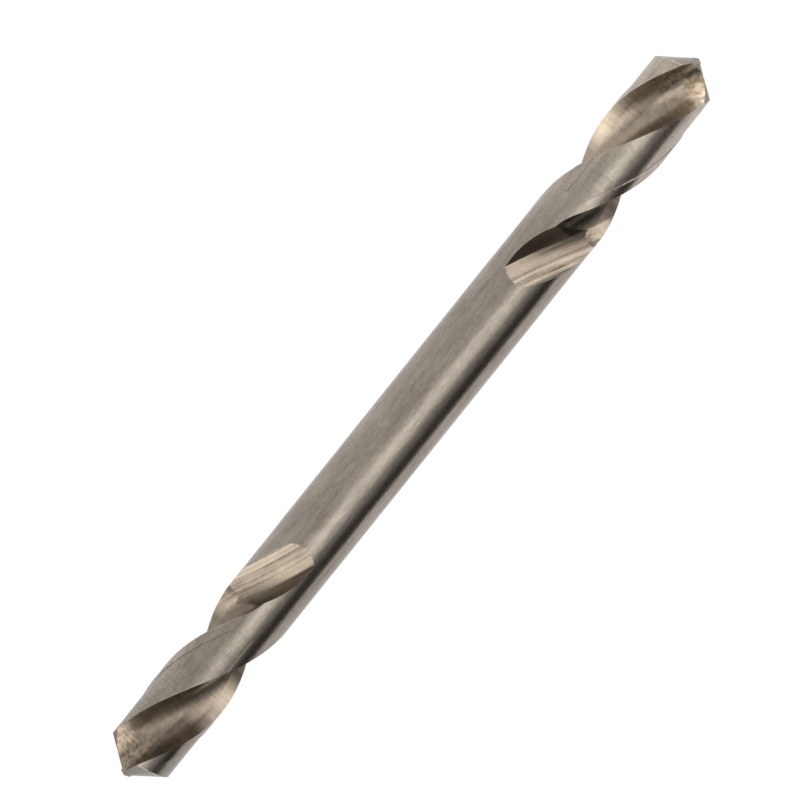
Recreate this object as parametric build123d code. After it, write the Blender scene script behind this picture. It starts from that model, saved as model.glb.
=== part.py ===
from build123d import *
import math
import os

# A double-ended twist drill, ground from one round bar of high-speed steel.
# Sizes are in millimetres and degrees. The drill lies along X, with its middle at the origin.
# Both ends are the same: the second one is the first turned round, plus a small turn about the axis.

diameter = 5.0
length = 62.0
fluted_length = 19.65
second_end_turn = -8.0

# Back taper: each fluted length is a little thinner at the shank than at its point
back_taper = 0.01
taper_start = 0.4

# Flutes
helix_angle = 30.0
web = 1.16
flute_opening = 93.0
flute_bottom_radius = 1.7
flute_end_from_tip = 14.75
flute_end_direction = 32.0
flute_ahead_of_wheel = 1.1

# Grinding wheel that leaves the flute at its end
wheel_radius = 28.0
wheel_tilt = 33.0
wheel_corner_offset = 0.5
wheel_rake_radius = 1.9
wheel_rake_arc = 75.0
wheel_heel_slope = 47.0
wheel_heel_width = 1.4
wheel_shoulder_slope = 78.0
wheel_shoulder_width = 0.4
wheel_sector = 16.0

# How the flute opens up behind the wheel's last place: distance from it and share still closed
fade_in = [(-0.65, 1.0), (-0.15, 0.6), (0.35, 0.2), (0.85, 0.0)]
fade_opening = 9.0
fade_web = 0.6
section_step = 1.1

# Body clearance behind the margins
clearance_depth = 0.1
margin_angle = 17.0
clearance_from_tip = 12.56
clearance_wheel_width = 3.4
clearance_wheel_arc = 33.0

# Point
flank_half_angle = 63.5
flank_tilt = 10.4
point_drop = 1.17
lip_lag = 10.8
web_corner_along = 0.35
web_corner_across = 0.6
gash_slope = 45.0
gash_open = 95.0
gash_height = 0.03
gash_overlap = 0.02
chisel_turn = 60.0
cone_ahead = 0.04

# Room that cutters are given beyond the bar
spare = 1.0

radius = diameter / 2
tip = length / 2
lead = math.pi * diameter / math.tan(math.radians(helix_angle))
degrees_per_mm = 360 / lead
wheel_x = tip - flute_end_from_tip
half_opening = flute_opening / 2
middle_at_wheel = flute_end_direction + flute_ahead_of_wheel


def middle_angle(x):
    """Direction of the first flute's middle at a place along the drill."""
    return middle_at_wheel + (x - wheel_x) * degrees_per_mm


def spot(x, angle, across, out):
    """Point at a place along the drill; out points along the angle, across is square to it."""
    a = math.radians(angle)
    side = across * math.cos(a) + out * math.sin(a)
    up = out * math.cos(a) - across * math.sin(a)
    return Vector(x, -side, up)


def flute_section(x, closed=0.0):
    """Outline of the flute: two straight walls that run into a round bottom."""
    half = math.radians(half_opening - closed * fade_opening)
    centre = web / 2 + closed * fade_web + flute_bottom_radius
    corner = (radius * math.sin(half), radius * math.cos(half))
    to_corner = (corner[0], corner[1] - centre)
    reach = math.hypot(*to_corner)
    turn = math.atan2(to_corner[1], to_corner[0]) - math.acos(flute_bottom_radius / reach)
    touch = (flute_bottom_radius * math.cos(turn), centre + flute_bottom_radius * math.sin(turn))
    wall = (corner[0] - touch[0], corner[1] - touch[1])
    run = 1 + spare / math.hypot(*wall)
    outer = (touch[0] + run * wall[0], touch[1] + run * wall[1])
    mid = middle_angle(x)
    low = spot(x, mid, -outer[0], outer[1])
    low_touch = spot(x, mid, -touch[0], touch[1])
    bottom = spot(x, mid, 0, centre - flute_bottom_radius)
    high_touch = spot(x, mid, touch[0], touch[1])
    high = spot(x, mid, outer[0], outer[1])
    top = spot(x, mid, 0, radius + 2 * spare)
    return Wire([
        Edge.make_line(low, low_touch),
        Edge.make_three_point_arc(low_touch, bottom, high_touch),
        Edge.make_line(high_touch, high),
        Edge.make_line(high, top),
        Edge.make_line(top, low),
    ])


def flute_body():
    """Helical part of one flute, from its end to beyond the tip."""
    sections = []
    for offset, closed in fade_in:
        sections.append(flute_section(wheel_x + offset, closed))
    start = wheel_x + fade_in[-1][0]
    count = math.ceil((tip + spare - start) / section_step)
    for step in range(1, count + 1):
        sections.append(flute_section(start + (tip + spare - start) * step / count))
    return Solid.make_loft(sections)


def flute_wheel():
    """The grinding wheel where it stood last: its print is the blunt end of the flute."""
    tilt = math.radians(wheel_tilt)
    axle = Vector(-math.sin(tilt), -math.cos(tilt), 0)
    forward = Vector(math.cos(tilt), -math.sin(tilt), 0)
    hub = Vector(wheel_x, 0, web / 2 + wheel_radius)
    place = Plane(origin=hub, x_dir=axle, z_dir=forward)
    arc = math.radians(wheel_rake_arc)
    corner = (wheel_corner_offset, wheel_radius)
    arc_mid = (
        corner[0] - wheel_rake_radius * math.sin(arc / 2),
        corner[1] - wheel_rake_radius * (1 - math.cos(arc / 2)),
    )
    arc_end = (
        corner[0] - wheel_rake_radius * math.sin(arc),
        corner[1] - wheel_rake_radius * (1 - math.cos(arc)),
    )
    heel = (
        corner[0] + wheel_heel_width,
        corner[1] - wheel_heel_width * math.tan(math.radians(wheel_heel_slope)),
    )
    shoulder = (
        heel[0] + wheel_shoulder_width,
        heel[1] - wheel_shoulder_width * math.tan(math.radians(wheel_shoulder_slope)),
    )
    low = (arc_end[0] - (arc_end[1] - shoulder[1]) / math.tan(arc), shoulder[1])
    outline = Wire([
        Edge.make_three_point_arc(corner, arc_mid, arc_end),
        Edge.make_line(arc_end, low),
        Edge.make_line(low, shoulder),
        Edge.make_line(shoulder, heel),
        Edge.make_line(heel, corner),
    ])
    face = place * Face(outline)
    turning = Axis(hub, axle)
    face = face.rotate(turning, -wheel_sector)
    wheel = revolve(face, turning, revolution_arc=2 * wheel_sector)
    return wheel.rotate(Axis.X, flute_end_direction)


def ring_section(x, low_angle, high_angle):
    """Sector of a ring that stands on the cleared land."""
    inner = radius - clearance_depth
    outer = radius + spare
    middle = (low_angle + high_angle) / 2
    return Wire([
        Edge.make_three_point_arc(
            spot(x, low_angle, 0, inner), spot(x, middle, 0, inner), spot(x, high_angle, 0, inner)
        ),
        Edge.make_line(spot(x, high_angle, 0, inner), spot(x, high_angle, 0, outer)),
        Edge.make_three_point_arc(
            spot(x, high_angle, 0, outer), spot(x, middle, 0, outer), spot(x, low_angle, 0, outer)
        ),
        Edge.make_line(spot(x, low_angle, 0, outer), spot(x, low_angle, 0, inner)),
    ])


def clearance_bodies():
    """Relief of one land: a helical band, and the square print of the wheel at its end."""
    start = tip - clearance_from_tip
    turn = start + clearance_wheel_width
    end = tip + spare
    low_start = middle_angle(start) - half_opening - margin_angle - clearance_wheel_arc
    pieces = []
    for first, last, print_end in ((start, turn, True), (turn, end, False)):
        count = math.ceil((last - first) / section_step)
        sections = []
        for step in range(count + 1):
            x = first + (last - first) * step / count
            high = middle_angle(x) - half_opening - margin_angle
            low = low_start + (0 if print_end else (x - turn) * degrees_per_mm)
            sections.append(ring_section(x, low, high))
        pieces.append(Solid.make_loft(sections))
    return pieces


def point_frame():
    """Directions at the tip: along the lip, behind it, and out of the point."""
    lip_angle = middle_angle(tip - point_drop) - half_opening - lip_lag
    return spot(0, lip_angle, 0, 1), spot(0, lip_angle - 90, 0, 1), Vector(1, 0, 0)


def flank_fall(turn):
    """Slope of the flank in the direction that lies this far behind the lip."""
    tilt = math.radians(flank_tilt)
    across = math.sin(math.radians(turn)) * math.sin(tilt)
    size = math.hypot(across, math.cos(tilt))
    lag = math.atan2(across, math.cos(tilt))
    return math.tan(math.asin(math.cos(math.radians(flank_half_angle)) / size) + lag)


def flank_cutter():
    """What lies above the relieved flank behind one lip."""
    along, behind, out = point_frame()
    side_turn = math.radians(90 - chisel_turn)
    inward = along * math.cos(side_turn) + behind * math.sin(side_turn)
    far = radius + spare
    corners = [
        (far, -far * web_corner_across),
        (web_corner_along, -web_corner_across),
        (-web_corner_along, web_corner_across),
        (-far, far * web_corner_across),
        (-far, far),
        (far, far),
    ]
    base = tip - 2 * point_drop
    side = Wire.make_polygon([along * u + behind * v + out * base for u, v in corners], close=True)
    block = Solid.extrude(Face(side), out * (2 * point_drop + spare))
    tilt = math.radians(flank_tilt)
    down = out * -math.cos(tilt) - behind * math.sin(tilt)
    height = 4 * point_drop
    cone = Cone(height * math.tan(math.radians(flank_half_angle)), 0, height)
    peak = out * (tip + cone_ahead * flank_fall(90 - chisel_turn)) - inward * cone_ahead
    seat = Plane(origin=peak + down * (height / 2), x_dir=along, z_dir=down * -1)
    return block - seat * cone


def gash_cutter():
    """Groove that thins the web in front of one inner lip."""
    along, behind, out = point_frame()
    turn = math.radians(chisel_turn)
    inner_lip = along * math.cos(turn) - behind * math.sin(turn)
    away = along * -math.sin(turn) - behind * math.cos(turn)
    slope = math.radians(gash_slope)
    down = inner_lip * math.cos(slope) - out * math.sin(slope)
    rise = out * math.cos(slope) + inner_lip * math.sin(slope)
    opening = math.radians(gash_open)
    floor = rise * math.cos(opening) + away * math.sin(opening)
    start = out * (tip + gash_height) - away * gash_overlap - down * spare
    size = 2 * radius
    corners = [start, start + rise * size, start + rise * size + away * size, start + floor * size]
    return Solid.extrude(Face(Wire.make_polygon(corners, close=True)), down * (2 * size))


def round_bar():
    """The bar before its flutes: a plain shank between two lengths with back taper."""
    shank_end = tip - fluted_length
    thin = radius - back_taper
    outline = [
        (-tip, 0), (-tip, radius), (-shank_end - taper_start, thin), (-shank_end, radius),
        (shank_end, radius), (shank_end + taper_start, thin), (tip, radius), (tip, 0),
    ]
    return revolve(Face(Wire.make_polygon(outline, close=True)), Axis.X)


def drill_bit():
    """The bar with both of its ends ground."""
    bar = round_bar()
    cutters = [flute_wheel(), flute_body()]
    cutters += clearance_bodies()
    cutters += [flank_cutter(), gash_cutter()]
    for cutter in cutters:
        for turn in (0, 180):
            tool = cutter.rotate(Axis.X, turn)
            bar = bar - tool
            bar = bar - tool.rotate(Axis.Z, 180).rotate(Axis.X, second_end_turn)
    return bar


os.makedirs("parts", exist_ok=True)
bit = drill_bit()
bit.label = "drill_bit"
export_step(bit, "parts/drill_bit.step")
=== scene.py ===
import bpy
import math
from mathutils import Matrix, Vector

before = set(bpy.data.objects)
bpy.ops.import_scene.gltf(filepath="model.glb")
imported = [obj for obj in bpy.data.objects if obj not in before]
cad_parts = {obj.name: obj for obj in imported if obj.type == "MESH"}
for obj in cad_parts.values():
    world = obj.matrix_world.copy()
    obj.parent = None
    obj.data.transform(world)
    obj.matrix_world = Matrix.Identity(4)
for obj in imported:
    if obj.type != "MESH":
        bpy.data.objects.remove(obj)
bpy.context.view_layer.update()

# Sizes of the drill in millimetres and degrees, as its model has them.
# It lies along X with its middle at the origin, and its angles run from straight up towards -Y.
RADIUS = 2.5
SECOND_END_TURN = -8.0
HELIX_ANGLE = 30.0
RUN_OUT = 16.25
RUN_OUT_DIRECTION = 32.0
FLUTE_MIDDLE = 33.1
CLEARED_FROM = 18.44
WHEEL_TILT = 33.0
LEAD = 2 * math.pi * RADIUS / math.tan(math.radians(HELIX_ANGLE))
DEGREES_PER_MM = 360 / LEAD
MM_PER_METRE = 1000
AXIS = (1, 0, 0)
UPRIGHT = (0, 0, 1)

# The photograph's side and scale in pixels. The drill is turned from level, with its middle off the centre.
FRAME_PIXELS = 800
PIXELS_PER_METRE = 14820
DRILL_TURN = 51.3
MIDDLE_RIGHT = 11.3
MIDDLE_DOWN = 16.8
CAMERA_DISTANCE = 0.9
CAMERA_SEES = (0.01, 10)
SENSOR_WIDTH = 36

# The floor is small, so that the drill's side towards -Y mirrors the dark studio beyond it.
# A share of it glows white for the camera and for the steel, and the rest takes the drill's shadow.
FLOOR_SIZE = 0.09
FLOOR_COLOUR = (0.8, 0.8, 0.8, 1)
FLOOR_ROUGHNESS = 0.9
FLOOR_GLOW_SEEN = 0.75
FLOOR_GLOW_MIRRORED = 0.45
FLOOR_LIFT = 0.1

# Brightness of the studio round the drill: angle from straight above towards -Y, and level
STUDIO_STRIPS = [
    (-90, 0.96), (-40, 0.98), (-16, 1.02), (-8, 1.2), (0, 1.6), (6, 2.0), (16, 2.15), (24, 1.95), (32, 1.5),
    (38, 1.1), (44, 0.56), (50, 0.44), (57, 0.38), (63, 0.15), (68, 0.08), (84, 0.05), (90, 0.1),
]
STUDIO_FULL = 2.2
STUDIO_TINT = (0.99, 1.0, 0.975)
WHITE = (1, 1, 1, 1)

# Lamps beyond the drill's ends. Reach is how far a direction leans along the drill, from 0 to 1.
LAMP_LIGHT = (3.7, 3.7, 3.7)
LAMP_FROM_REACH = (0.4, 0.72)
LAMP_TO_REACH = (0.98, 0.84)
LAMP_LEAN = 22
LAMP_LEANS_BETWEEN = (-0.1, 0.1)
LAMP_FROM_ANGLE = (-75, -35)
LAMP_TO_ANGLE = (82, 58)

# The strips are dimmer overhead, away from their middle, which leaves a gap before the lamps
GAP_REACH = (0.06, 0.22)
GAP_ANGLE = (70, 35)
GAP_DEPTH = 0.65

# Tones of the steel
LAND_TONE = (0.285, 0.245, 0.212, 1)
CLEARED_TONE = (0.27, 0.238, 0.202, 1)
POINT_TONE = (0.165, 0.136, 0.11, 1)
GRIT_TONE = (0.36, 0.32, 0.278, 1)
FLUTE_TONE = (0.255, 0.209, 0.162, 1)
HEAT_TONE = (0.25, 0.18, 0.11, 1)

# Where one area of the steel gives way to the next, as a span from nothing to full.
# Along is in millimetres from the drill's middle to the nearer end, and beside in degrees from a flute's
# middle. Faces count 1 where they look straight out from the axis, or for the point straight along it.
ROUND_FACES = (0.955, 0.98)
STEP_FACES = (0.7, 0.5)
POINT_FACES = (0.6, 0.68)
POINT_ALONG = (28.4, 28.6)
LAND_RADIUS = (2.3, 2.34)
CLEARED_RADIUS = (2.46, 2.42)
STEP_RADIUS = (2.34, 2.36)
SURE_LAND_RADIUS = (2.36, 2.37)
CLEARED_ALONG = (CLEARED_FROM - 0.03, CLEARED_FROM)
BESIDE_FLUTE = (47.3, 48.0)
HELICAL_ALONG = (RUN_OUT + 0.8, RUN_OUT + 2.6)

# The run-out across its grinding wheel, in millimetres: the wall, darkened by painted shade, the bright
# floor, then the gritty shoulder
SHADED_WALL_ACROSS = (0.55, 0.38)
SHADED_WALL_FROM_ALONG = (RUN_OUT - 0.3, RUN_OUT + 0.1)
SHADED_WALL_TO_ALONG = (20.0, 18.4)
FLOOR_ACROSS = (0.7, 1.1)
SHOULDER_ACROSS = (1.86, 1.94)
SHOULDER_ALONG = (18.0, 17.4)
SHOULDER_GRIT = 0.85

# Lines left by the wheels: lines per millimetre, and how much slower they change along their run
RUN_OUT_LINES = (6.5, 0.01)
HELIX_LINES = (3.0, 0.2)
RING_LINES = (2.8, 0.1)
FINE_FACTOR = 2.2

# The arcs across a helical flute lean along the drill, and the shifts give each flute and end its own lines
ARC_LEAN = -0.5
ARC_RADIUS = 1.5
FLUTE_SHIFT = 7.0
END_SHIFT = 3.0

# Patterns in the steel: repeats per millimetre along and across the bar, detail and roughness
CLOUDS = (0.2, 0.8, 3.0, 0.6)
STREAKS = (0.35, 2.6, 3.0, 0.6)
GRAIN = (2.0, 5.5, 2.0, 0.6)
SPECKLE = (6.0, 6.0, 2.0, 0.7)
HEAT_PATCHES = (0.7, 0.7, 3.0, 0.6)
TIP_PATCHES = (2.4, 2.4, 3.0, 0.6)
END_PATCHES = (2.2, 2.2, 2.0, 0.5)
COARSE_DETAIL = (1.0, 0.5)
FINE_DETAIL = (2.0, 0.6)

# Parts of a pattern's range: nearly all of it, most of it, and less, which gives more contrast
WIDE = (0.2, 0.8)
MOST = (0.25, 0.75)
BOLD = (0.3, 0.7)
BOLDER = (0.35, 0.65)

# How far each pattern takes the tone to both sides of its middle, and where it is weaker or stronger
CLOUD_SHADE = 0.14
SPECKLE_SHADE = 0.1
STREAK_SHADE = 0.16
GRAIN_SHADE = 0.14
STREAKS_LOST_IN_FLUTE = 0.7
RING_SHADE = 0.12
RINGS_ON_LAND = 0.3
RINGS_ON_CLEARED = 1.2
FINE_LINE_SHADE = 0.22
COARSE_LINE_SHADE = 0.28
ARC_SHADE = 0.1

# The run-outs are darker as a whole, and their deepest scratches are darker still
RUN_OUT_DARKER = -0.2
SCRATCH_PART = (0.4, 0.33)
SCRATCH_SHADE = (0.0, -0.25)

# Wear, heat, painted shade and painted light: where each lies, and its strength. Turn is in degrees from a
# flute's middle, and bar in millimetres along the whole drill, with the end that gets the painted light
# last.
HEAT_ALONG = (27.0, 30.0)
HEAT_PART = (0.42, 0.62)
HEAT_STRENGTH = 0.6
WORN_BESIDE = (48.6, 47.0)
WORN_ALONG = (RUN_OUT + 1.0, RUN_OUT + 2.0)
WORN_PART = (0.35, 0.6)
WORN_SHADE = (0.05, 0.4)
# Painted shade: a darker patch in each flute, a little way back from the lip
PAINTED_SHADE_TURN = (-29.0, -36.0)
PAINTED_SHADE_FROM_ALONG = (24.4, 25.8)
PAINTED_SHADE_TO_ALONG = (29.2, 28.2)
PAINTED_SHADE_STRENGTH = -0.32
# Painted shade on the run-out's wall, stronger towards the +X end
SHADED_WALL_BAR = (-10.0, 10.0)
PAINTED_WALL_SHADE = (-0.15, -0.64)
TIP_ALONG = (26.5, 29.5)
TIP_SHADE = (-0.4, 0.25)
# Painted light: the steel is made brighter towards the +X end and its point
PAINTED_LIGHT_BAR = (14.0, 29.0)
PAINTED_LIGHT_END = (1.0, 1.5)

# Roughness of the steel, and what its clearance and its gritty walls change
LAND_ROUGHNESS = (0.2, 0.27)
FLUTE_ROUGHNESS = (0.3, 0.4)
CLEARED_ROUGHER = 0.06
GRIT_ROUGHER = 0.3
GRIT_LESS_METALLIC = -0.8

# Heights of the marks in millimetres
RINGS_HIGH_ON_LAND = 0.0005
RINGS_HIGH_ON_CLEARED = 0.0006
RUN_OUT_LINES_HIGH = 0.006
ARCS_DEEPEN_ALONG = (24.0, 28.0)
ARCS_HIGH = (0.005, 0.01)
SPECKLE_HIGH = 0.0006
PATCHES_HIGH = 0.025
PATCHES_FROM_ALONG = (RUN_OUT - 0.5, RUN_OUT + 0.3)
PATCHES_TO_ALONG = (RUN_OUT + 2.2, RUN_OUT + 1.2)

# Layout of a tree's nodes on its sheet
NODE_RIGHT = 40
NODE_DOWN = 160
NODE_ROWS = 7

# The mixing node's sockets for numbers, vectors and colours: factor, first, second and result
MIX_SOCKETS = {"FLOAT": (0, 2, 3, 0), "VECTOR": (0, 4, 5, 1), "RGBA": (0, 6, 7, 2)}


class Bench:
    """Adds nodes to one tree from left to right and joins them."""

    def __init__(self, tree):
        self.tree = tree
        self.count = 0

    def add(self, kind, inputs=None, **settings):
        node = self.tree.nodes.new(kind)
        node.location = (self.count * NODE_RIGHT, -(self.count % NODE_ROWS) * NODE_DOWN)
        self.count += 1
        for name, value in settings.items():
            setattr(node, name, value)
        for name, value in (inputs or {}).items():
            self.join(value, node.inputs[name])
        return node

    def join(self, value, socket):
        """Links a socket, or sets a plain value on the input itself."""
        if isinstance(value, bpy.types.NodeSocket):
            self.tree.links.new(value, socket)
        else:
            socket.default_value = value

    def calc(self, operation, *values):
        node = self.add("ShaderNodeMath", operation=operation)
        for value, socket in zip(values, node.inputs):
            self.join(value, socket)
        return node.outputs[0]

    def chain(self, operation, result, *others):
        """Takes the values in turn, as a sum or a product of many does."""
        for value in others:
            result = self.calc(operation, result, value)
        return result

    def product(self, *values):
        return self.chain("MULTIPLY", *values)

    def total(self, *values):
        return self.chain("ADD", *values)

    def highest(self, *values):
        return self.chain("MAXIMUM", *values)

    def opposite(self, value):
        return self.calc("SUBTRACT", 1.0, value)

    def eased(self, share, change):
        """One where the share is nothing, and one plus the change where it is full."""
        return self.calc("MULTIPLY_ADD", share, change, 1.0)

    def vector(self, operation, *values):
        node = self.add("ShaderNodeVectorMath", operation=operation)
        for value, socket in zip(values, node.inputs):
            self.join(value, socket)
        return node.outputs["Value" if operation == "DOT_PRODUCT" else "Vector"]

    def scaled(self, vector, factor):
        node = self.add("ShaderNodeVectorMath", {"Vector": vector, "Scale": factor}, operation="SCALE")
        return node.outputs["Vector"]

    def turned(self, vector, axis, angle):
        """Turns a vector about an axis, by an angle in radians."""
        inputs = {"Vector": vector, "Axis": axis, "Angle": angle}
        return self.add("ShaderNodeVectorRotate", inputs, rotation_type="AXIS_ANGLE").outputs["Vector"]

    def parts(self, vector):
        return self.add("ShaderNodeSeparateXYZ", {"Vector": vector}).outputs

    def combined(self, x, y, z):
        return self.add("ShaderNodeCombineXYZ", {"X": x, "Y": y, "Z": z}).outputs["Vector"]

    def fade(self, value, span, levels=(0.0, 1.0), soft=True):
        """Goes from the first level to the second while the value crosses the span."""
        inputs = {
            "Value": value,
            "From Min": span[0],
            "From Max": span[1],
            "To Min": levels[0],
            "To Max": levels[1],
        }
        easing = "SMOOTHSTEP" if soft else "LINEAR"
        node = self.add("ShaderNodeMapRange", inputs, clamp=True, interpolation_type=easing)
        return node.outputs["Result"]

    def spread(self, pattern, share, part=MOST):
        """Lets part of a pattern's range run evenly from minus the share to plus the share."""
        return self.fade(pattern, part, (-share, share), soft=False)

    def blend(self, factor, first, second, kind="FLOAT"):
        """Mixes two numbers, vectors or colours."""
        factor_input, first_input, second_input, output = MIX_SOCKETS[kind]
        inputs = {factor_input: factor, first_input: first, second_input: second}
        return self.add("ShaderNodeMix", inputs, data_type=kind).outputs[output]

    def noise(self, place, detail, roughness):
        """A random pattern with one repeat to each unit of the place."""
        inputs = {"Vector": place, "Scale": 1.0, "Detail": detail, "Roughness": roughness}
        return self.add("ShaderNodeTexNoise", inputs).outputs["Fac"]


def new_group(name, inputs, outputs):
    """An empty group with its bench, its named inputs and its node for the outputs."""
    group = bpy.data.node_groups.new(name, "ShaderNodeTree")
    for label, kind in inputs:
        group.interface.new_socket(label, in_out="INPUT", socket_type=kind)
    for label, kind in outputs:
        group.interface.new_socket(label, in_out="OUTPUT", socket_type=kind)
    bench = Bench(group)
    return group, bench, bench.add("NodeGroupInput").outputs, bench.add("NodeGroupOutput").inputs


def drill_measures():
    """Where a point is on the drill: place along it, angle in the flute's own turn, radius and side."""
    group, b, given, out = new_group(
        "drill measures",
        [("Position", "NodeSocketVector")],
        [
            ("Along", "NodeSocketFloat"),
            ("Turn", "NodeSocketFloat"),
            ("Radius", "NodeSocketFloat"),
            ("End Frame", "NodeSocketVector"),
            ("Section", "NodeSocketVector"),
            ("Side", "NodeSocketFloat"),
        ],
    )
    # The second end is turned back on to the first, so that both are measured alike
    mm = b.scaled(given["Position"], MM_PER_METRE)
    second = b.calc("LESS_THAN", b.parts(mm)["X"], 0.0)
    turned_back = b.turned(mm, AXIS, math.radians(-SECOND_END_TURN))
    own = b.blend(second, mm, b.turned(turned_back, UPRIGHT, math.pi), "VECTOR")
    along, y, z = b.parts(own)
    radius = b.calc("SQRT", b.total(b.product(y, y), b.product(z, z)))

    # The section is turned until the first flute's middle points straight up
    middle = b.calc("MULTIPLY_ADD", along, DEGREES_PER_MM, FLUTE_MIDDLE - RUN_OUT * DEGREES_PER_MM)
    section = b.turned(own, AXIS, b.calc("RADIANS", b.product(middle, -1.0)))
    flat = b.parts(section)
    side = b.calc("SIGN", flat["Z"])
    sideways = b.product(flat["Y"], b.product(side, -1.0))
    turn = b.calc("DEGREES", b.calc("ARCTAN2", sideways, b.calc("ABSOLUTE", flat["Z"])))
    for value, socket in zip((along, turn, radius, own, section, side), out):
        b.join(value, socket)
    return group


def grind_lines():
    """Fine lines left by a wheel: they cross the place's first direction and run along the others."""
    group, b, given, out = new_group(
        "grind lines",
        [
            ("Place", "NodeSocketVector"),
            ("Lines per mm", "NodeSocketFloat"),
            ("Stretch", "NodeSocketFloat"),
        ],
        [("Coarse", "NodeSocketFloat"), ("Fine", "NodeSocketFloat")],
    )
    x, y, z = b.parts(given["Place"])
    lines = given["Lines per mm"]
    run = b.product(lines, given["Stretch"])
    coarse = b.combined(b.product(x, lines), b.product(y, run), b.product(z, run))
    b.join(b.noise(coarse, *COARSE_DETAIL), out["Coarse"])
    b.join(b.noise(b.scaled(coarse, FINE_FACTOR), *FINE_DETAIL), out["Fine"])
    return group


def add_camera():
    """Looks straight down, turned so that the drill lies across the picture as in the photograph."""
    turn = math.radians(DRILL_TURN)
    right = Vector((math.cos(turn), -math.sin(turn), 0))
    up = Vector((math.sin(turn), math.cos(turn), 0))
    target = (up * MIDDLE_DOWN - right * MIDDLE_RIGHT) / PIXELS_PER_METRE
    camera = bpy.data.cameras.new("camera")
    camera.sensor_width = SENSOR_WIDTH
    camera.lens = SENSOR_WIDTH * CAMERA_DISTANCE * PIXELS_PER_METRE / FRAME_PIXELS
    camera.clip_start, camera.clip_end = CAMERA_SEES
    holder = bpy.data.objects.new("camera", camera)
    bpy.context.scene.collection.objects.link(holder)
    turned = Matrix((right, up, Vector(UPRIGHT))).transposed().to_4x4()
    holder.matrix_world = Matrix.Translation(target + Vector((0, 0, CAMERA_DISTANCE))) @ turned
    bpy.context.scene.camera = holder


def add_floor():
    """A pale floor that the camera and the steel see as white, but for the drill's soft shadow."""
    bpy.ops.mesh.primitive_plane_add(size=FLOOR_SIZE, location=(0, 0, -RADIUS / MM_PER_METRE))
    floor = bpy.context.object
    floor.name = "floor"
    material = bpy.data.materials.new("pale_floor")
    material.use_nodes = True
    b = Bench(material.node_tree)
    shader = material.node_tree.nodes["Principled BSDF"]
    shader.inputs["Base Color"].default_value = FLOOR_COLOUR
    shader.inputs["Roughness"].default_value = FLOOR_ROUGHNESS
    shader.inputs["Specular IOR Level"].default_value = 0
    path = b.add("ShaderNodeLightPath").outputs
    seen = path["Is Camera Ray"]
    mirrored = b.highest(path["Is Glossy Ray"], path["Is Transmission Ray"])
    share = b.calc("MULTIPLY_ADD", mirrored, FLOOR_GLOW_MIRRORED, b.product(seen, FLOOR_GLOW_SEEN))
    glow = b.add("ShaderNodeEmission", {"Strength": 1.0})
    half = b.add("ShaderNodeMixShader", {0: share, 1: shader.outputs[0], 2: glow.outputs[0]})
    lift = b.add("ShaderNodeEmission", {"Strength": b.product(seen, FLOOR_LIFT)})
    both = b.add("ShaderNodeAddShader", {0: half.outputs[0], 1: lift.outputs[0]})
    b.join(both.outputs[0], material.node_tree.nodes["Material Output"].inputs["Surface"])
    floor.data.materials.append(material)


def strip_light(b, angle):
    """Light from long strips beside the drill, by its angle from straight above towards -Y."""
    lowest = STUDIO_STRIPS[0][0]
    highest = STUDIO_STRIPS[-1][0]
    ramp = b.add("ShaderNodeValToRGB", {"Fac": b.fade(angle, (lowest, highest), soft=False)})
    stops = ramp.color_ramp.elements
    while len(stops) < len(STUDIO_STRIPS):
        stops.new(0)
    for stop, (strip_angle, level) in zip(stops, STUDIO_STRIPS):
        grey = level / STUDIO_FULL
        stop.position = (strip_angle - lowest) / (highest - lowest)
        stop.color = (grey, grey, grey, 1)
    full = tuple(STUDIO_FULL * part for part in STUDIO_TINT)
    return b.vector("MULTIPLY", ramp.outputs["Color"], full)


def end_lamps(b, x, angle, reach):
    """Where two soft lamps shine beyond the drill's ends, which only its flutes and points can see."""
    leaning = b.calc("MULTIPLY_ADD", b.fade(x, LAMP_LEANS_BETWEEN), LAMP_LEAN, angle)
    return b.product(
        b.fade(reach, LAMP_FROM_REACH),
        b.fade(reach, LAMP_TO_REACH),
        b.fade(leaning, LAMP_FROM_ANGLE),
        b.fade(leaning, LAMP_TO_ANGLE),
    )


def studio_light():
    """Soft light from all round in long strips beside the drill; the camera sees plain white."""
    world = bpy.data.worlds.new("studio")
    world.use_nodes = True
    b = Bench(world.node_tree)
    x, y, z = b.parts(b.add("ShaderNodeTexCoord").outputs["Generated"])
    angle = b.calc("DEGREES", b.calc("ARCTAN2", b.product(y, -1.0), z))
    reach = b.calc("ABSOLUTE", x)
    gap = b.product(b.fade(reach, GAP_REACH), b.fade(b.calc("ABSOLUTE", angle), GAP_ANGLE))
    level = b.scaled(strip_light(b, angle), b.eased(gap, -GAP_DEPTH))
    level = b.blend(end_lamps(b, x, angle, reach), level, LAMP_LIGHT, "VECTOR")
    background = world.node_tree.nodes["Background"]
    background.inputs["Strength"].default_value = 1.0
    b.join(level, background.inputs["Color"])
    white = b.add("ShaderNodeBackground", {"Strength": 1.0, "Color": WHITE})
    seen = b.add("ShaderNodeLightPath").outputs["Is Camera Ray"]
    mix = b.add("ShaderNodeMixShader", {0: seen, 1: background.outputs[0], 2: white.outputs[0]})
    b.join(mix.outputs[0], world.node_tree.nodes["World Output"].inputs["Surface"])
    bpy.context.scene.world = world


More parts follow.
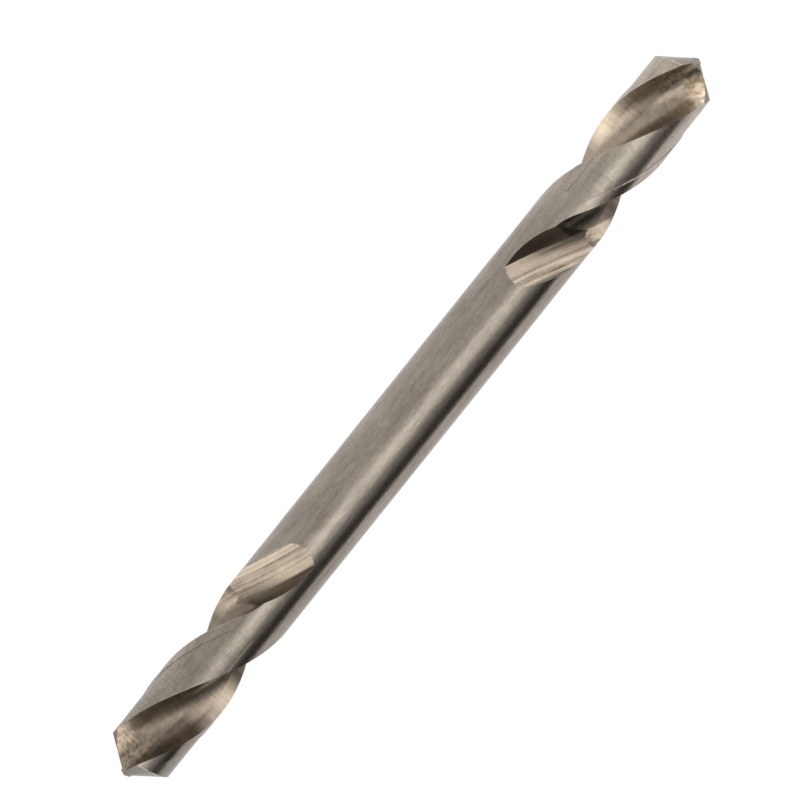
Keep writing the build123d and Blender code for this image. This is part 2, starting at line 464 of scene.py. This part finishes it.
class SteelBench(Bench):
    """Works out the areas, the marks, the tones and the relief of the drill's steel."""

    def measure(self):
        """The place of a point on the drill and in its flute, and which way its face looks."""
        coordinate = self.add("ShaderNodeTexCoord").outputs
        where = self.add("ShaderNodeGroup", {"Position": coordinate["Object"]}, node_tree=drill_measures())
        self.along, self.turn, self.radius, self.own, self.section, self.side = where.outputs
        self.away = self.calc("ABSOLUTE", self.turn)
        self.mm = self.scaled(coordinate["Object"], MM_PER_METRE)
        self.bar, y, z = self.parts(self.mm)
        self.face = coordinate["Normal"]
        self.spoke = self.vector("NORMALIZE", self.combined(0.0, y, z))

    def find_areas(self):
        """Plain round steel, cleared lands and the step beside them, the point, and the flutes."""
        outward = self.vector("DOT_PRODUCT", self.face, self.spoke)
        endwise = self.calc("ABSOLUTE", self.parts(self.face)["X"])
        self.point = self.product(self.fade(endwise, POINT_FACES), self.fade(self.along, POINT_ALONG))
        rounded = self.product(self.fade(outward, ROUND_FACES), self.fade(self.radius, LAND_RADIUS))
        in_clearance = self.fade(self.along, CLEARED_ALONG)
        self.cleared = self.product(rounded, self.fade(self.radius, CLEARED_RADIUS), in_clearance)
        beside = self.product(self.fade(self.away, BESIDE_FLUTE), in_clearance)
        step = self.product(self.fade(outward, STEP_FACES), self.fade(self.radius, STEP_RADIUS), beside)
        sure = self.product(self.fade(self.radius, SURE_LAND_RADIUS), self.opposite(step), beside)
        self.land = self.product(self.highest(rounded, sure), self.opposite(self.point))
        self.step = self.product(step, self.opposite(self.land))
        self.flute = self.opposite(self.highest(self.land, self.step, self.point))
        self.helical = self.fade(self.along, HELICAL_ALONG)

    def find_wheel(self):
        """The place across and along the wheel that ground the run-out, where it stood last."""
        tilt = math.radians(WHEEL_TILT)
        roll = math.radians(RUN_OUT_DIRECTION)
        axle = (-math.sin(tilt), -math.cos(tilt) * math.cos(roll), -math.cos(tilt) * math.sin(roll))
        forward = (math.cos(tilt), -math.sin(tilt) * math.cos(roll), -math.sin(tilt) * math.sin(roll))
        own_flute = self.vector("MULTIPLY", self.own, self.combined(1.0, self.side, self.side))
        from_bottom = RUN_OUT * math.sin(tilt)
        self.across_wheel = self.total(self.vector("DOT_PRODUCT", own_flute, axle), from_bottom)
        self.along_wheel = self.vector("DOT_PRODUCT", own_flute, forward)

    def find_grit(self):
        """Fine grit dulls the narrow walls of the step and of the run-out's shoulder."""
        shoulder = self.fade(self.across_wheel, SHOULDER_ACROSS)
        shoulder = self.product(self.flute, shoulder, self.fade(self.along, SHOULDER_ALONG))
        self.gritty = self.highest(self.step, self.product(shoulder, SHOULDER_GRIT))

    def lines(self, group, place, per_mm, stretch):
        inputs = {"Place": place, "Lines per mm": per_mm, "Stretch": stretch}
        return self.add("ShaderNodeGroup", inputs, node_tree=group).outputs

    def add_marks(self):
        """The wheel's marks run straight through a run-out, and cross the helical flute in long arcs."""
        end = self.product(self.calc("SIGN", self.bar), END_SHIFT)
        shift = self.calc("MULTIPLY_ADD", self.side, FLUTE_SHIFT, end)
        straight = self.combined(self.across_wheel, self.along_wheel, shift)
        flat = self.parts(self.section)
        sweep = self.calc("ARCTAN2", self.product(flat["Y"], self.side), self.calc("ABSOLUTE", flat["Z"]))
        leaning = self.calc("MULTIPLY_ADD", sweep, ARC_LEAN, self.along)
        arcs = self.combined(leaning, self.product(sweep, ARC_RADIUS), shift)
        group = grind_lines()
        self.run_out = self.lines(group, straight, *RUN_OUT_LINES)
        self.helix = self.lines(group, arcs, *HELIX_LINES)
        self.rings = self.lines(group, self.mm, *RING_LINES)
        self.flute_coarse = self.blend(self.helical, self.run_out["Coarse"], self.helix["Coarse"])
        self.flute_fine = self.blend(self.helical, self.run_out["Fine"], self.helix["Fine"])

    def pattern(self, along, across, detail, roughness):
        """A random pattern of clouds, streaks or grain, drawn out along the bar."""
        return self.noise(self.vector("MULTIPLY", self.mm, (along, across, across)), detail, roughness)

    def add_patterns(self):
        """The two patterns that more than one look needs."""
        self.streaks = self.pattern(*STREAKS)
        self.speckle = self.pattern(*SPECKLE)

    def tone(self):
        """The tone of each area, with a straw tint from heat in the flutes near the lips."""
        tone = self.blend(self.flute, LAND_TONE, FLUTE_TONE, "RGBA")
        tone = self.blend(self.cleared, tone, CLEARED_TONE, "RGBA")
        tone = self.blend(self.point, tone, POINT_TONE, "RGBA")
        tone = self.blend(self.gritty, tone, GRIT_TONE, "RGBA")
        patches = self.fade(self.pattern(*HEAT_PATCHES), HEAT_PART)
        heat = self.product(self.fade(self.along, HEAT_ALONG), patches, self.flute, HEAT_STRENGTH)
        return self.blend(heat, tone, HEAT_TONE, "RGBA")

    def unevenness(self):
        """Broad clouds and a speckle everywhere, and streaks along the bar that fade in the flutes."""
        clouds = self.spread(self.pattern(*CLOUDS), CLOUD_SHADE)
        speckle = self.spread(self.speckle, SPECKLE_SHADE, WIDE)
        streaks = self.spread(self.streaks, STREAK_SHADE)
        grain = self.spread(self.pattern(*GRAIN), GRAIN_SHADE)
        drawn_out = self.product(self.total(streaks, grain), self.eased(self.flute, -STREAKS_LOST_IN_FLUTE))
        return self.total(clouds, speckle, drawn_out)

    def worn_edges(self):
        """The lands are lighter along the edges that they share with the flutes."""
        edge = self.product(self.land, self.fade(self.away, WORN_BESIDE), self.fade(self.along, WORN_ALONG))
        return self.product(edge, self.fade(self.streaks, WORN_PART, WORN_SHADE))

    def mark_shade(self):
        """Rings on the round steel, lines with dark scratches in the run-outs, and arcs in the flutes."""
        ring_strength = self.blend(self.cleared, RINGS_ON_LAND, RINGS_ON_CLEARED)
        rings = self.product(self.spread(self.rings["Fine"], RING_SHADE), ring_strength)
        coarse = self.spread(self.flute_coarse, COARSE_LINE_SHADE, BOLDER)
        coarse = self.product(coarse, self.fade(self.across_wheel, FLOOR_ACROSS))
        scratches = self.fade(self.run_out["Fine"], SCRATCH_PART, SCRATCH_SHADE)
        fine = self.spread(self.flute_fine, FINE_LINE_SHADE)
        lines = self.total(fine, coarse, scratches, RUN_OUT_DARKER)
        arcs = self.total(
            self.spread(self.helix["Fine"], ARC_SHADE),
            self.spread(self.helix["Coarse"], ARC_SHADE, BOLD),
        )
        return self.blend(self.flute, rings, self.blend(self.helical, lines, arcs))

    def painted_flute_shade(self):
        """Painted shade: a darker patch on the cutting side of each flute, a little way back from the lip.
        """
        shaded_patch = self.product(
            self.fade(self.turn, PAINTED_SHADE_TURN),
            self.fade(self.along, PAINTED_SHADE_FROM_ALONG),
            self.fade(self.along, PAINTED_SHADE_TO_ALONG),
            self.flute,
        )
        return self.eased(shaded_patch, PAINTED_SHADE_STRENGTH)

    def painted_wall_shade(self):
        """Painted shade on the wall beside the run-out's bright floor, stronger towards the drill's +X end.
        """
        shaded_wall = self.product(
            self.fade(self.across_wheel, SHADED_WALL_ACROSS),
            self.flute,
            self.fade(self.along, SHADED_WALL_TO_ALONG),
            self.fade(self.along, SHADED_WALL_FROM_ALONG),
        )
        return self.eased(shaded_wall, self.fade(self.bar, SHADED_WALL_BAR, PAINTED_WALL_SHADE))

    def tip_wear(self):
        """Worn and dirty patches in the flutes beside the point."""
        patches = self.fade(self.pattern(*TIP_PATCHES), BOLDER, TIP_SHADE)
        return self.product(self.fade(self.along, TIP_ALONG), patches, self.flute)

    def colour(self):
        """The tone times its shade, which is about one, with painted light that lifts it towards the
        drill's +X end.
        """
        shade = self.total(self.unevenness(), self.worn_edges(), self.mark_shade(), 1.0)
        shade = self.product(shade, self.painted_flute_shade(), self.painted_wall_shade())
        shade = self.total(shade, self.tip_wear())
        # Painted light lifts the shade towards the +X end
        painted_light = self.fade(self.bar, PAINTED_LIGHT_BAR, PAINTED_LIGHT_END, soft=False)
        return self.vector("MULTIPLY", self.tone(), self.product(shade, painted_light))

    def roughness(self):
        on_land = self.fade(self.speckle, MOST, LAND_ROUGHNESS, soft=False)
        on_land = self.calc("MULTIPLY_ADD", self.cleared, CLEARED_ROUGHER, on_land)
        in_flute = self.fade(self.flute_fine, BOLD, FLUTE_ROUGHNESS, soft=False)
        clean = self.blend(self.flute, on_land, in_flute)
        return self.calc("MULTIPLY_ADD", self.gritty, GRIT_ROUGHER, clean)

    def metallic(self):
        return self.eased(self.gritty, GRIT_LESS_METALLIC)

    def height(self):
        """Heights of the marks, and of rough patches where the helical flute begins, in millimetres."""
        ring_height = self.blend(self.cleared, RINGS_HIGH_ON_LAND, RINGS_HIGH_ON_CLEARED)
        rings = self.product(self.total(self.rings["Fine"], self.rings["Coarse"]), ring_height)
        arc_height = self.fade(self.along, ARCS_DEEPEN_ALONG, ARCS_HIGH)
        line_height = self.blend(self.helical, RUN_OUT_LINES_HIGH, arc_height)
        lines = self.product(self.total(self.flute_fine, self.flute_coarse), line_height)
        patches = self.product(
            self.pattern(*END_PATCHES),
            PATCHES_HIGH,
            self.fade(self.along, PATCHES_FROM_ALONG),
            self.fade(self.along, PATCHES_TO_ALONG),
            self.flute,
        )
        speckle = self.product(self.speckle, SPECKLE_HIGH)
        return self.total(self.blend(self.flute, rings, lines), speckle, patches)

    def relief(self):
        """The marks stand on truly round lands, and on the flutes' own faces."""
        looks = self.blend(self.land, self.face, self.spoke, "VECTOR")
        surface = self.add(
            "ShaderNodeVectorTransform",
            {"Vector": looks},
            vector_type="NORMAL",
            convert_from="OBJECT",
            convert_to="WORLD",
        )
        inputs = {
            "Strength": 1.0,
            "Distance": 1 / MM_PER_METRE,
            "Height": self.height(),
            "Normal": surface.outputs["Vector"],
        }
        return self.add("ShaderNodeBump", inputs).outputs["Normal"]


def ground_steel():
    """High-speed steel as ground: grey shank and lands, darker warm flutes, each with its wheel's marks."""
    material = bpy.data.materials.new("ground_steel")
    material.use_nodes = True
    steel = SteelBench(material.node_tree)
    steel.measure()
    steel.find_areas()
    steel.find_wheel()
    steel.find_grit()
    steel.add_marks()
    steel.add_patterns()
    shader = material.node_tree.nodes["Principled BSDF"]
    steel.join(steel.colour(), shader.inputs["Base Color"])
    steel.join(steel.roughness(), shader.inputs["Roughness"])
    steel.join(steel.metallic(), shader.inputs["Metallic"])
    steel.join(steel.relief(), shader.inputs["Normal"])
    return material


add_camera()
add_floor()
studio_light()
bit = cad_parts["drill_bit"]
bit.data.materials.clear()
bit.data.materials.append(ground_steel())
bpy.context.scene.view_settings.view_transform = "Standard"
